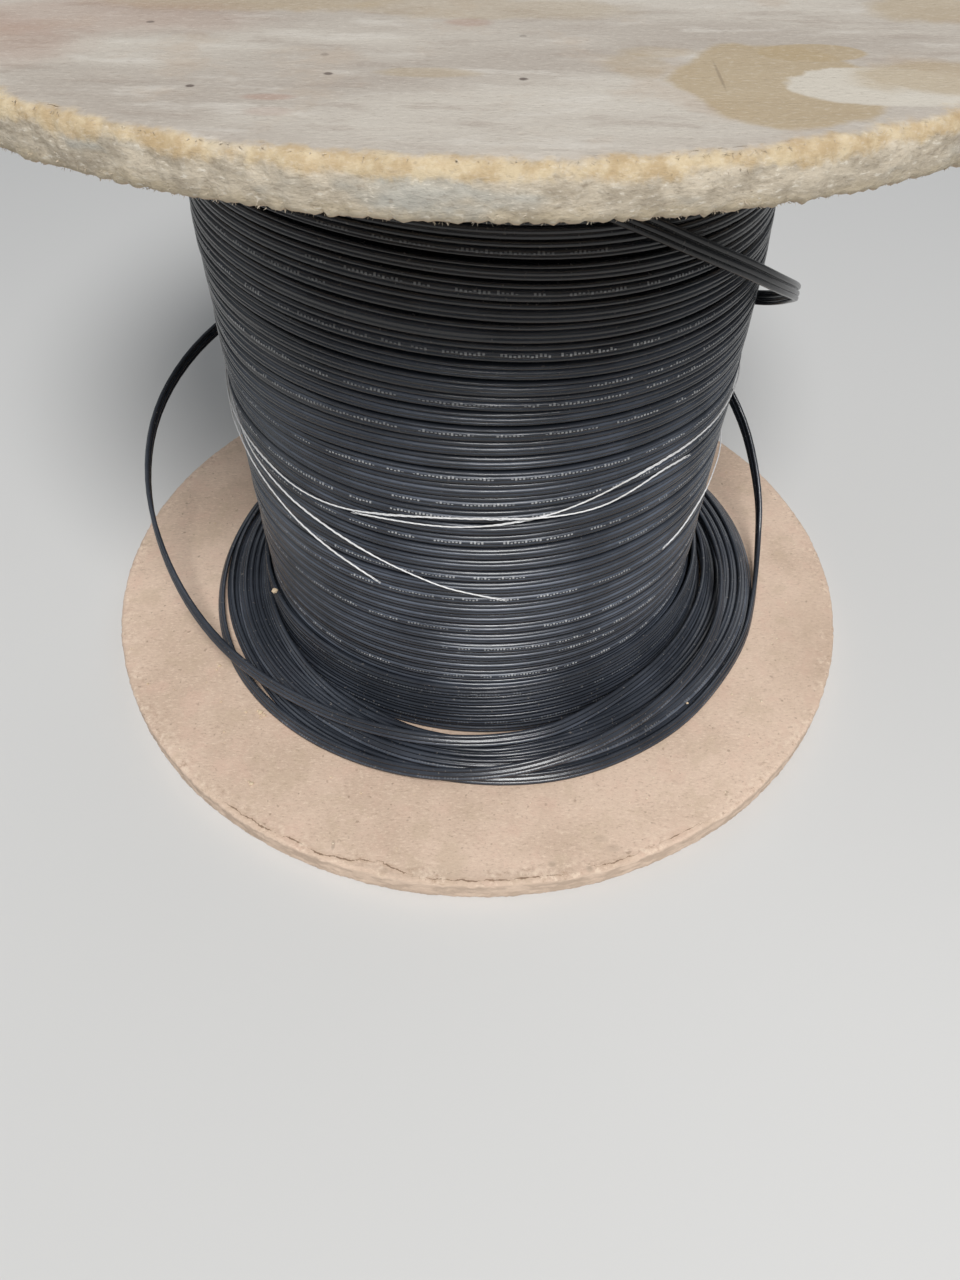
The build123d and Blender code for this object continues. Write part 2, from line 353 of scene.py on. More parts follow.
class Signal:
    """A value that changes over a surface; what is reckoned with it becomes nodes."""

    def __init__(self, socket):
        self.socket = socket

    def node(self, kind, settings=None, output=0, **inputs):
        """One output of a new node in the same tree."""
        return add_node(self.socket.id_data, kind, settings, output, **inputs)

    def math(self, operation, second=0.0, third=0.0):
        """A Math node's result, with this as its first value."""
        return self.node("Math", {"operation": operation}, n0=self, n1=second, n2=third)

    def __add__(self, other):
        return self.math("ADD", other)

    def __radd__(self, other):
        return self.node("Math", {"operation": "ADD"}, n0=other, n1=self)

    def __sub__(self, other):
        return self.math("SUBTRACT", other)

    def __rsub__(self, other):
        return self.node("Math", {"operation": "SUBTRACT"}, n0=other, n1=self)

    def __mul__(self, other):
        return self.math("MULTIPLY", other)

    def __abs__(self):
        return self.math("ABSOLUTE")

    def fade(self, start, end, low=0.0, high=1.0):
        """This value mapped smoothly from one range to another."""
        return self.node("MapRange", {"interpolation_type": "SMOOTHSTEP"}, "Result",
                         Value=self, From_Min=start, From_Max=end, To_Min=low, To_Max=high)

    def mix(self, first, second):
        """The first colour where this is 0 and the second where it is 1."""
        first, second = (tone if isinstance(tone, Signal) else (*tone, 1) for tone in (first, second))
        return self.node("Mix", {"data_type": "RGBA"}, 2, n0=self, n6=first, n7=second)

    def bump(self, strength, distance):
        """The normal of a relief of this height."""
        return self.node("Bump", None, "Normal", Strength=strength, Distance=distance, Height=self)

    def axis(self, letter):
        """One part of a vector."""
        return self.node("SeparateXYZ", None, letter, Vector=self)

    def vector(self, operation, other):
        """A Vector Math node's result, with this as its first vector."""
        return self.node("VectorMath", {"operation": operation}, n0=self, n1=other)

    def length(self):
        """A vector's length."""
        return self.node("VectorMath", {"operation": "LENGTH"}, "Value", n0=self)

    def stretched(self, x, y, z, turn=0.0):
        """A place with its axes scaled and turned, for a pattern with a direction."""
        return self.node("Mapping", Vector=self, Scale=(x, y, z), Rotation=(0, 0, turn))

    def speckle(self, scale, detail=3.0, rough=0.55):
        """A noise value at this place, with a scale in features a metre."""
        return self.node("TexNoise", Vector=self, Scale=scale, Detail=detail, Roughness=rough)

    def along_noise(self, kind, **inputs):
        """A noise value along one line, with this as the place on it."""
        return self.node(kind, {"noise_dimensions": "1D"}, W=self, **inputs)


def layered(colour, layers):
    """A colour with others laid over it, each where its mask says."""
    for mask, tone in layers:
        colour = mask.mix(colour, tone)
    return colour


def up_part(tree):
    """How far a face looks up: 1 up, 0 aside, -1 down."""
    return add_node(tree, "NewGeometry", None, "Normal").axis("Z")


def new_group(name, **inputs):
    """A shader node group and its inputs: a number makes a value, three make a vector."""
    group = bpy.data.node_groups.new(name, "ShaderNodeTree")
    labels = [label.replace("_", " ") for label in inputs]
    for label, value in zip(labels, inputs.values()):
        kind = "NodeSocketFloat" if isinstance(value, float) else "NodeSocketVector"
        group.interface.new_socket(label, in_out="INPUT", socket_type=kind).default_value = value
    start = group.nodes.new("NodeGroupInput")
    return group, [Signal(start.outputs[label]) for label in labels]


def close_group(group, **outputs):
    """Give a group its outputs."""
    for label in outputs:
        group.interface.new_socket(label, in_out="OUTPUT", socket_type="NodeSocketFloat")
    set_inputs(group.nodes.new("NodeGroupOutput"), **outputs)


def use_group(tree, group, **inputs):
    """Place a group in a tree; gives its outputs by name."""
    node = add_node(tree, "Group", {"node_tree": group}, **inputs).socket.node
    return {socket.name: Signal(socket) for socket in node.outputs}


def new_material(name):
    """A material with its shader and the place on the object."""
    material = bpy.data.materials.new(name)
    material.use_nodes = True
    tree = material.node_tree
    return material, tree.nodes["Principled BSDF"], add_node(tree, "TexCoord", None, "Object")


# Print on the jacket: rows of tiny generic ticks in blocks with gaps between.
# Along is the length along the cable in metres, Across the place round its section.
cable_print, (along, across, print_from, print_to) = new_group(
    "cable_print", Along=0.0, Across=0.0, From=0.1, To=0.4)
ticks_a_metre = 860.0
cells = along * ticks_a_metre
cell = cells.math("FLOOR")
in_cell = cells.math("FRACT")
words = cell.along_noise("TexNoise", Scale=0.16, Detail=0.0)
block_end = along.along_noise("TexNoise", Scale=3.0, Detail=1.0)
block = (along * (1 / 0.93)).math("FRACT").math("LESS_THAN", block_end.fade(0.35, 0.65, 0.18, 0.46))
place = across.fade(print_from, print_to)
upper_end = cell.along_noise("TexWhiteNoise").math("MULTIPLY_ADD", 0.45, 0.55)
lower_end = (cell + 0.5).along_noise("TexWhiteNoise") * 0.42
ink = (place - lower_end).fade(0.0, 0.06) * (upper_end - place).fade(0.0, 0.06)
ink = ink * in_cell.fade(0.12, 0.20) * in_cell.fade(0.66, 0.76, 1.0, 0.0)
close_group(cable_print, Ink=ink * words.math("GREATER_THAN", 0.42) * block)

# Dust and painted sheen: pale specks of dust, and a thin uneven film that is partly
# settled dust and partly painted sheen, thicker on faces that look up
dust_and_sheen, (position, amount) = new_group("dust_and_sheen", Position=(0, 0, 0), Amount=0.5)
patches = position.speckle(38.0, 4.0).fade(0.30, 0.72, 0.35, 1.0)
film = up_part(dust_and_sheen).fade(0.05, 0.80) * patches * amount
close_group(dust_and_sheen, Film=film, Specks=position.speckle(900.0, 1.0).fade(0.70, 0.76) * amount)


def cable_jacket(name, print_from, print_to, face_dust_and_painted_sheen, edge_dust_and_painted_light, specks, ink_strength, gloss):
    """Black polythene: satin, greyed by sun and by a bluish film, dusty and partly painted sheen, on faces
    that look up; near black under the upper flange, where the shade is painted.
    """
    material, shader, position = new_material(name)
    tree = material.node_tree
    route_uv = add_node(tree, "UVMap", {"uv_map": "along_cable"}, "UV")
    along = route_uv.axis("X")
    across = route_uv.axis("Y")
    ink = use_group(tree, cable_print, Along=along, Across=across, From=print_from, To=print_to)["Ink"]
    dust_and_sheen_masks = use_group(tree, dust_and_sheen, Position=position, Amount=1.0)
    tone = position.speckle(16.0, 3.0)
    # How far a place is out in the air and the light: low under the upper flange, where less dust settles and
    # the flange's shade is painted in.
    open_air_and_lit = (position.axis("Z") + (tone - 0.5) * 0.08).fade(0.226, 0.135, 0.10, 1.0)
    scuff_place = along.node("CombineXYZ", X=along * 22.0, Y=across * 26.0)
    scuffs = scuff_place.speckle(1.0, 4.0, 0.6).fade(0.56, 0.80)
    # The film is dust and partly painted sheen. The section's edges get their own amount: on the winding
    # little, a painted shade in the grooves between turns; on the loose turns much, a painted highlight along
    # each top edge.
    film = dust_and_sheen_masks["Film"] * abs(across - 0.5).fade(0.34, 0.47, face_dust_and_painted_sheen, edge_dust_and_painted_light) * open_air_and_lit
    # The print is dimmed in the painted shade under the upper flange.
    ink = ink * tone.fade(0.34, 0.60, 0.3 * ink_strength, ink_strength) * open_air_and_lit.fade(0.1, 0.7, 0.15, 1.0)
    # Base colour near black under the upper flange and greyer below it: painted shade of the flange.
    colour = layered(open_air_and_lit.mix((0.006, 0.0055, 0.0055), (0.013, 0.0155, 0.021)), (
        (film, (0.155, 0.180, 0.232)),
        (scuffs * open_air_and_lit * 0.35, (0.085, 0.092, 0.105)),
        (dust_and_sheen_masks["Specks"] * specks, (0.30, 0.27, 0.24)),
        (ink, (0.48, 0.49, 0.50)),
    ))
    set_inputs(
        shader, Base_Color=colour, IOR=1.5, Specular_IOR_Level=gloss,
        Roughness=scuffs * 0.14 + tone.fade(0.3, 0.7, 0.17, 0.25) + film * 0.12,
        Normal=scuff_place.speckle(3.0, 5.0, 0.6).bump(0.2, 0.0002),
    )
    return material


# Loose turns: full film on the section's edges, a painted highlight along each turn's top edge.
loose_jacket = cable_jacket("loose_cable_jacket", 0.04, 0.20, 0.24, 1.0, 0.45, 0.18, 0.62)
loose_path = lay_route("loose_route", route)
loose_cable = sweep_flat_cable("loose_cable", loose_path, [lean for point, lean in route])
loose_cable.data.materials.append(loose_jacket)
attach(loose_cable, "root")
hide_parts("loose_turns", "slack_loop")

# Top loop: the same cable where it leaves the winding under the upper flange,
# swings out past the right side and goes back in behind.
top_route = placed((
    (-16, 90.2, 223.8), (-4, 92.0, 220.5), (10, 93.0, 210.5, 0.05), (24, 93.6, 199.8, 0.1),
    (36, 94.8, 189.2, 0.1), (48, 97.4, 178.2, 0.1), (59, 101.4, 166.8, 0.1), (71, 104.7, 154.8, 0.05),
    (83, 106.2, 142.6), (93, 105.0, 130.8), (102, 100.8, 123.0), (112, 97.2, 118.0), (125, 94.6, 114.2),
    (141, 92.2, 111.4), (158, 90.0, 109.8),
))
top_path = lay_route("top_route", top_route)
top_cable = sweep_flat_cable("top_cable", top_path, [lean for point, lean in top_route])
# The hanging loop's copy of the jacket has less film, fewer specks and less gloss, so it renders darker:
# partly less dust, partly painted shade of the loop under the upper flange.
hanging_jacket = cable_jacket("hanging_cable_jacket", 0.04, 0.20, 0.06, 0.25, 0.20, 0.12, 0.42)
top_cable.data.materials.append(hanging_jacket)
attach(top_cable, "root")
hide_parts("top_loop")

# White binder threads: soft twisted polyester that tied the coil together,
# cut and left lying on the winding, thicker where the yarn has opened.
ply_offset = 0.00011
ply_radius = 0.00015
ply_corners = 6
white_thread_routes = (
    (
        (6, 92.6, 73.6), (-3, 92.8, 77.6), (-10, 93.0, 81.2), (-23, 93.4, 88.4), (-38, 93.7, 95.5),
        (-48, 93.9, 100.0), (-60, 94.1, 105.0), (-84, 94.7, 111.0), (-108, 95.0, 114.5), (-134, 95.0, 117.0),
        (-160, 95.0, 118.5), (-186, 95.0, 119.0), (-212, 95.0, 118.5), (-238, 95.0, 117.5),
        (-262, 94.7, 116.8), (-282, 94.5, 118.4), (-302, 94.4, 120.6), (-314, 94.3, 120.4),
        (-322, 94.2, 120.0), (-330, 94.1, 118.0), (-339, 93.9, 114.0), (-347, 93.7, 110.8),
        (-356, 93.6, 108.6), (-365, 93.5, 107.0), (-376, 93.4, 106.4), (-386, 93.3, 104.9),
    ),
    (
        (-21, 92.7, 75.6), (-30, 93.0, 81.2), (-38, 93.3, 86.2), (-44, 93.6, 90.0), (-52, 93.9, 95.5),
        (-60, 94.1, 100.5), (-74, 94.5, 105.0), (-92, 94.9, 108.0), (-114, 95.0, 111.0),
    ),
    (
        (47, 93.6, 114.0), (39, 94.0, 116.0), (31, 94.3, 113.0), (23, 94.5, 110.1), (12, 94.6, 110.8),
        (2, 94.3, 111.8), (-6, 93.9, 111.2), (-12, 93.7, 110.2), (-19, 93.5, 108.0), (-28, 93.5, 105.0),
        (-37, 93.6, 104.0), (-46, 93.8, 105.5), (-60, 94.2, 108.5), (-76, 94.7, 113.0), (-96, 94.9, 117.0),
    ),
    (
        (45, 92.5, 73.4), (49, 92.6, 74.4), (53, 92.9, 77.0), (58, 93.2, 80.8), (64, 93.5, 84.0),
        (78, 94.0, 86.0), (96, 94.5, 87.2), (118, 94.7, 88.0),
    ),
)


def twist_yarn(name, path, lay_length, seed):
    """Three loose plies round a path; they part here and there and fray at the ends."""
    yarn = bmesh.new()
    total = path_length(path)
    for ply in range(3):
        rings = []
        length = 0.0
        for number, point in enumerate(path):
            upright, outwards = path_sides(path, number)
            if number:
                length += (point - path[number - 1]).length
            to_end = min(length, total - length)
            slack = max(0.0, noise.noise(Vector((length * 34, seed, 2.0)))) + 0.7 * exp(-to_end / 0.004)
            turn = 2 * pi * (ply / 3 + length / lay_length)
            aside = ply_offset + 0.0006 * slack * (0.4 + 0.3 * ply)
            middle = point + upright * aside * cos(turn)
            middle += outwards * (ply_offset + 0.00010 * slack) * sin(turn)
            taper = 0.35 + 0.65 * min(1.0, to_end / 0.006)
            size = ply_radius * taper * (1 + 0.25 * noise.noise(Vector((length * 90, seed, ply))))
            rings.append([
                yarn.verts.new(middle + (upright * cos(step) + outwards * sin(step)) * size)
                for step in (2 * pi * corner / ply_corners for corner in range(ply_corners))
            ])
        skin_tube(yarn, rings)
    piece = new_piece(name, yarn)
    piece.data.polygons.foreach_set("use_smooth", [True] * len(piece.data.polygons))
    return piece


thread_material, shader, position = new_material("white_yarn")
fibre = position.speckle(1800.0, 3.0)
soil = position.speckle(60.0, 3.0).fade(0.55, 0.8)
colour = soil.mix(fibre.fade(0.35, 0.7).mix((0.78, 0.79, 0.81), (0.92, 0.92, 0.93)), (0.58, 0.56, 0.52))
set_inputs(shader, Base_Color=colour, Normal=fibre.bump(0.5, 0.0001), Roughness=0.8)

for number, thread_route in enumerate(white_thread_routes, start=1):
    thread_path = lay_route(f"thread_route_{number}", placed(thread_route), 24)
    thread = twist_yarn(f"binder_thread_{number}", thread_path, 0.009, number * 3.7)
    thread.data.materials.append(thread_material)
    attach(thread, "root")
    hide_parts(f"white_thread_{number}")

# Winding: about 300 m of the flat cable, wound side by side in layers. The
# outermost layer is one screw of the cable's own ridged face; here and there
# turns stand proud, have parted or slope where a layer below has slipped.
winding_radius = 0.0913
winding_bore = 0.0601
winding_foot = 0.0102
winding_head = 0.2428
turns_high = 44
turn_pitch = (winding_head - winding_foot) / turns_high
turn_length = 2 * pi * winding_radius
screw_steps = 120
screw_start = winding_foot - 1.5 * turn_pitch
seam = 0.00003
gap_depth = 0.0022
gap_shoulder = 0.0008
gap_lift = 0.00056
lift_reach = 0.0013
face_profile = [(x * mm, z * mm) for x, z in (
    (-0.98, 0.0), (-0.40, 0.12), (-0.12, 0.38), (-0.01, 0.84), (-0.06, 1.28), (-0.24, 1.57), (-0.04, 1.86),
    (0.02, 2.30), (-0.14, 2.72), (-0.48, 3.02), (-0.96, 3.22), (-0.50, 3.50), (-0.14, 3.84), (0.0, 4.30),
    (-0.13, 4.74), (-0.46, 5.08),
)] + [(-0.00098, turn_pitch)]


def edit_all():
    """Enter edit mode with all of the active mesh selected."""
    bpy.ops.object.mode_set(mode="EDIT")
    bpy.ops.mesh.select_all(action="SELECT")


def select_only(piece, kind, test):
    """Enter edit mode with only the faces or edges selected that pass the test."""
    bpy.ops.object.mode_set(mode="EDIT")
    bpy.ops.mesh.select_mode(type=kind)
    bpy.ops.mesh.select_all(action="DESELECT")
    bpy.ops.object.mode_set(mode="OBJECT")
    for part in piece.data.polygons if kind == "FACE" else piece.data.edges:
        part.select = test(part)
    bpy.ops.object.mode_set(mode="EDIT")


def cut_level(level, **cleared):
    """Cut the mesh in edit mode through at a height."""
    bpy.ops.mesh.select_all(action="SELECT")
    bpy.ops.mesh.bisect(plane_co=(0, 0, level), plane_no=(0, 0, 1), **cleared)


def turn_outwards():
    """Turn all faces of the mesh in edit mode outwards and leave edit mode."""
    bpy.ops.mesh.select_all(action="SELECT")
    bpy.ops.mesh.normals_make_consistent(inside=False)
    bpy.ops.object.mode_set(mode="OBJECT")


bpy.ops.object.select_all(action="DESELECT")
bpy.ops.mesh.primitive_plane_add(size=0.0001, location=(winding_radius + face_profile[0][0], 0, screw_start))
winding = bpy.context.object
winding.name = "cable_layers"
winding.data.name = "cable_layers"
bpy.ops.object.transform_apply(location=True, rotation=False, scale=False)
edit_all()
bpy.ops.mesh.merge(type="CENTER")
for (before_x, before_z), (after_x, after_z) in zip(face_profile, face_profile[1:]):
    bpy.ops.mesh.extrude_vertices_move(
        TRANSFORM_OT_translate={"value": (after_x - before_x, 0, after_z - before_z)})
bpy.ops.object.mode_set(mode="OBJECT")
screw = winding.modifiers.new("wind", "SCREW")
screw.axis = "Z"
screw.angle = 2 * pi
screw.screw_offset = turn_pitch
screw.iterations = turns_high + 3
screw.steps = screw_steps
screw.render_steps = screw_steps
bpy.ops.object.modifier_apply(modifier="wind")
edit_all()
bpy.ops.mesh.remove_doubles(threshold=0.00001)
bpy.ops.mesh.bisect(plane_co=(0, 0, winding_foot), plane_no=(0, 0, 1), clear_inner=True)
cut_level(winding_head, clear_outer=True)
turn_outwards()


def strand_place(x, y, z):
    """Where a point lies on the wound cable: the turn it is on and the share of its width."""
    round_share = (atan2(y, x) / (2 * pi)) % 1.0
    return (z - screw_start) / turn_pitch - round_share, round_share


# the length along the cable and the place across it, before the turns are disturbed
winding_uv = winding.data.uv_layers.new(name="along_cable")
for face in winding.data.polygons:
    face_place, face_share = strand_place(*face.center)
    turn = floor(face_place)
    for loop_index in face.loop_indices:
        corner = winding.data.vertices[winding.data.loops[loop_index].vertex_index].co
        spot, share = strand_place(*corner)
        over = round(share - face_share)
        share -= over
        spot += over
        winding_uv.data[loop_index].uv = ((turn + share) * turn_length, min(max(spot - turn, 0.0), 1.0))

# swell of the winding over its height, as share of the height and metres
swell = ((0.00, 0.0), (0.12, -0.0004), (0.30, 0.0002), (0.52, 0.0009), (0.70, 0.0013),
         (0.82, 0.0002), (0.92, -0.0012), (1.00, -0.0016))
# turns that slope: how far they are lower at the right than in the middle
slope = ((0.0, 0.0), (0.06, 0.0012), (0.30, 0.0022), (0.55, 0.0026), (0.78, 0.0056),
         (0.90, 0.0040), (1.0, 0.0))
# places where a group of turns has slipped: angle, height, spread of both, shift
slipped = (
    (-52, 0.141, 16, 0.010, -0.0026), (-75, 0.120, 24, 0.012, 0.0022), (40, 0.118, 22, 0.010, 0.0018),
    (66, 0.150, 18, 0.012, -0.0020), (-20, 0.196, 20, 0.010, 0.0014), (25, 0.171, 25, 0.009, -0.0013),
    (150, 0.140, 30, 0.016, 0.0026), (-150, 0.180, 32, 0.015, -0.0024), (120, 0.080, 26, 0.012, -0.0020),
    (-110, 0.070, 26, 0.012, 0.0018), (75, 0.060, 20, 0.010, -0.0022), (-30, 0.052, 24, 0.007, 0.0012),
)
# turns that have parted from the next: turn number, angle, half the stretch, how far
parted = [
    (5, 35, 60, 0.6), (8, -60, 40, 0.7), (12, 80, 55, 0.8), (12, -100, 45, 0.6), (18, -20, 70, 0.7),
    (21, 20, 48, 1.0), (22, -70, 30, 0.8), (25, 20, 75, 1.0), (28, 5, 70, 0.9), (31, -45, 60, 0.8),
    (33, 50, 40, 0.8), (37, -10, 80, 1.0), (39, 40, 50, 0.8), (41, -50, 60, 0.7),
]
dice = random.Random(12)
for count in range(62):
    parted.append((dice.randrange(2, turns_high), dice.uniform(-180, 180), dice.uniform(22, 85),
                   dice.uniform(0.3, 0.95)))
partings_of = {}
for turn, angle, stretch, depth in parted:
    partings_of.setdefault(turn, []).append((angle, stretch, depth))


def parting_at(turn, angle):
    """How far a turn stands off the one under it at an angle."""
    most = 0.0
    for middle, stretch, depth in partings_of.get(turn, ()):
        away = abs(wrapped(angle - middle)) / stretch
        if away < 1:
            most = max(most, depth * (1 - away * away) ** 2)
    return most


def strand_stand(strand):
    """How far a strand stands proud at a place along the cable, in turns."""
    slow = noise.noise(Vector((strand * 1.7, 1.3, 0)))
    quick = noise.noise(Vector((strand * 6.1, 8.2, 0)))
    return 0.00042 * slow + 0.00018 * quick


for vertex in winding.data.vertices:
    x, y, z = vertex.co
    spot, share = strand_place(x, y, z)
    turn = floor(spot + 0.0001)
    angle = degrees(atan2(x, -y))
    distance = hypot(x, y)
    stand = strand_stand(turn + share)
    if spot - turn < 0.06:
        stand = min(stand, strand_stand(turn - 1 + share))
    gap = parting_at(round(spot), angle)
    off = (spot - round(spot)) * turn_pitch
    lift = 0
    if abs(off) < seam:
        distance -= gap_depth * gap
    elif abs(off) < 10 * seam:
        distance -= gap_shoulder * gap
    if abs(off) > seam:
        lift = gap_lift * gap * (1 if off > 0 else -1) * exp(-(off / lift_reach) ** 2)
    waves = 0.00035 * noise.noise(Vector((x * 14, y * 14, z * 9)))
    ends = min(1.0, (z - winding_foot) / 0.006, (winding_head - z) / 0.006)
    height_share = (z - winding_foot) / (winding_head - winding_foot)
    shift = -around(height_share, slope) * sin(radians(angle))
    for middle, level, spread, tall, move in slipped:
        away = (wrapped(angle - middle) / spread) ** 2 + ((z - level) / tall) ** 2
        if away < 9:
            shift += move * exp(-away / 2)
    flare = foot_flare(angle, z - winding_foot)
    distance += around(height_share, swell) + stand + waves + flare
    shift -= 0.5 * flare
    vertex.co = (distance * sin(radians(angle)), -distance * cos(radians(angle)),
                 z + (shift + lift) * max(0.0, ends))


def ends_of(piece, edge):
    """The places of an edge's two ends."""
    return [piece.data.vertices[index].co for index in edge.vertices]


# close the two ends down to the bore
for level in (winding_foot, winding_head):
    uses = {}
    for face in winding.data.polygons:
        for key in face.edge_keys:
            uses[key] = uses.get(key, 0) + 1
    select_only(winding, "EDGE", lambda edge: uses.get(edge.key, 0) == 1 and all(
        abs(end.z - level) < 0.0001 and hypot(end.x, end.y) > 0.08 for end in ends_of(winding, edge)))
    bpy.ops.mesh.extrude_edges_move(TRANSFORM_OT_translate={"value": (0, 0, 0)})
    bpy.ops.object.mode_set(mode="OBJECT")
    for vertex in winding.data.vertices:
        if vertex.select:
            inwards = winding_bore / hypot(vertex.co.x, vertex.co.y)
            vertex.co = (vertex.co.x * inwards, vertex.co.y * inwards, level)
select_only(winding, "EDGE", lambda edge: all(
    hypot(end.x, end.y) < winding_bore + 0.0004 for end in ends_of(winding, edge)))
bpy.ops.mesh.bridge_edge_loops()
turn_outwards()
bpy.ops.object.shade_smooth_by_angle(angle=radians(62))
# Winding: little film at the section's edges, a painted shade in the grooves between turns.
wound_jacket = cable_jacket("wound_cable_jacket", 0.32, 0.58, 0.75, 0.10, 0.15, 0.8, 0.55)
winding.data.materials.append(wound_jacket)
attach(winding, "root")
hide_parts("cable_winding")

# Flanges: discs of raw fibreboard, drilled for the spindle and for four tie
# rods whose nuts are sunk, with a groove that the core sits in. Made once,
# then copied and turned over for the upper one.
flange_radius = 0.160
flange_thickness = 0.010
drum_height = 0.253
rod_circle = 0.038
rim_parts = 1200
rim_from = 0.125
rim_side = 0.1572
rim_wear = 0.0004
arris_width = 0.0016
near_face = 0.002


def add_cylinder(name, radius, low, high, middle=(0.0, 0.0), parts=96):
    """A closed cylinder between two heights, its place in its mesh."""
    bpy.ops.object.select_all(action="DESELECT")
    bpy.ops.mesh.primitive_cylinder_add(
        vertices=parts, radius=radius, depth=high - low,
        location=(middle[0], middle[1], (low + high) / 2))
    piece = bpy.context.object
    piece.name = name
    piece.data.name = name
    bpy.ops.object.transform_apply(location=True, rotation=False, scale=False)
    return piece


# cutters: spindle hole, core groove, and a stepped one for each tie rod
cut_past = 0.002
cut_top = flange_thickness + cut_past
spindle_radius = 0.020
groove_radius = 0.0602
groove_width = 0.0054
groove_floor = 0.008
counterbore_radius = 0.010
counterbore_depth = 0.0053
rod_hole_radius = 0.0033
spindle_cutter = add_cylinder("spindle_cutter", spindle_radius, -cut_past, cut_top, parts=128)
groove_cutter = add_cylinder("groove_cutter", groove_radius, groove_floor, cut_top, parts=192)
select_only(groove_cutter, "FACE", lambda face: abs(face.normal.z) > 0.9)
bpy.ops.mesh.inset(thickness=groove_width)
bpy.ops.mesh.bridge_edge_loops()
turn_outwards()
cutters = [spindle_cutter, groove_cutter]
for number in range(4):
    turn = radians(45 + 90 * number)
    place = (rod_circle * cos(turn), rod_circle * sin(turn))
    stepped = add_cylinder(
        f"rod_cutter_{number + 1}", counterbore_radius, -cut_past, counterbore_depth, place)
    select_only(stepped, "FACE", lambda face: face.normal.z > 0.9)
    bpy.ops.mesh.inset(thickness=counterbore_radius - rod_hole_radius)
    bpy.ops.mesh.extrude_region_move(TRANSFORM_OT_translate={"value": (0, 0, cut_top - counterbore_depth)})
    bpy.ops.object.mode_set(mode="OBJECT")
    cutters.append(stepped)
pick(*cutters)
bpy.ops.object.join()

lower_flange = add_cylinder("lower_flange", flange_radius - rim_wear, 0.0, flange_thickness, parts=rim_parts)
select_only(lower_flange, "EDGE", lambda edge: len(
    {round(end.z, 3) for end in ends_of(lower_flange, edge)}) == 1)
bpy.ops.mesh.bevel(offset=arris_width, segments=3, affect="EDGES")
for level in (0.0026, 0.0036, 0.0046, 0.0056, 0.0066, 0.0075):
    cut_level(level)
for side, ring_widths in (
    (1, (0.0007, 0.0008, 0.0009, 0.001, 0.001, 0.0011, 0.0013, 0.0015, 0.002, 0.003, 0.005, 0.010)),
    (-1, (0.001, 0.002, 0.004)),
):
    select_only(lower_flange, "FACE", lambda face: side * face.normal.z > 0.99 and face.center.length < 0.02)
    for ring_width in ring_widths:
        bpy.ops.mesh.inset(thickness=ring_width)
bpy.ops.object.mode_set(mode="OBJECT")
drill = lower_flange.modifiers.new("drill", "BOOLEAN")
drill.operation = "DIFFERENCE"
drill.solver = "EXACT"
drill.object = spindle_cutter
pick(lower_flange)
bpy.ops.object.modifier_apply(modifier="drill")
bpy.data.objects.remove(spindle_cutter)

upper_flange = bpy.data.objects.new("upper_flange", lower_flange.data.copy())
upper_flange.data.name = "upper_flange"
bpy.context.scene.collection.objects.link(upper_flange)
turned_over = Matrix.Translation((0, 0, drum_height)) @ Matrix.Rotation(pi, 4, "X")
upper_flange.data.transform(turned_over)


def rim_vertices(piece):
    """The vertices near a flange's rim, each with its distance and direction from the axis."""
    for vertex in piece.data.vertices:
        distance = hypot(vertex.co.x, vertex.co.y)
        if distance >= rim_from:
            yield vertex, distance, vertex.co.x / distance, vertex.co.y / distance


def crack_beside(x, y, cracks):
    """Distance to the nearest crack's line, below 0 on its outer side."""
    nearest = 1.0
    side = 1
    for line in cracks:
        for (ax, ay), (bx, by) in zip(line, line[1:]):
            run = Vector((bx - ax, by - ay)) * mm
            beside = Vector((x - ax * mm, y - ay * mm))
            share = min(max(beside.dot(run) / run.length_squared, 0.0), 1.0)
            away = (beside - run * share).length
            if away < nearest:
                nearest = away
                side = 1 if run.x * beside.y - run.y * beside.x > 0 else -1
    return nearest * side


# the lower flange's rim has started to come apart in layers at the front: lines in mm
rim_cracks = (
    ((-90.4, -129.0), (-85.1, -132.7), (-78.9, -136.4), (-73.3, -139.5), (-69.2, -141.1), (-66.3, -142.1),
     (-64.0, -143.2), (-62.2, -144.2), (-60.6, -145.0), (-58.6, -146.5), (-55.3, -147.8), (-52.4, -148.6),
     (-49.2, -149.3), (-46.2, -150.1), (-43.2, -150.2), (-40.5, -149.6), (-38.5, -150.3)),
    ((-31.6, -151.6), (-29.4, -152.7), (-26.8, -153.9), (-23.5, -155.1)),
    ((-15.5, -157.1), (-2.0, -157.6), (12.8, -157.0), (19.5, -156.1), (24.8, -155.6), (31.0, -154.6)),
    ((45.5, -150.7), (50.3, -149.5), (55.5, -147.3)),
    ((71.2, -140.0), (75.8, -137.5), (79.0, -135.8)),
)
split_width = 0.0006
crack_mark = lower_flange.data.attributes.new("beside_crack", "FLOAT", "POINT")
crack_mark.data.foreach_set("value", [1.0] * len(crack_mark.data))
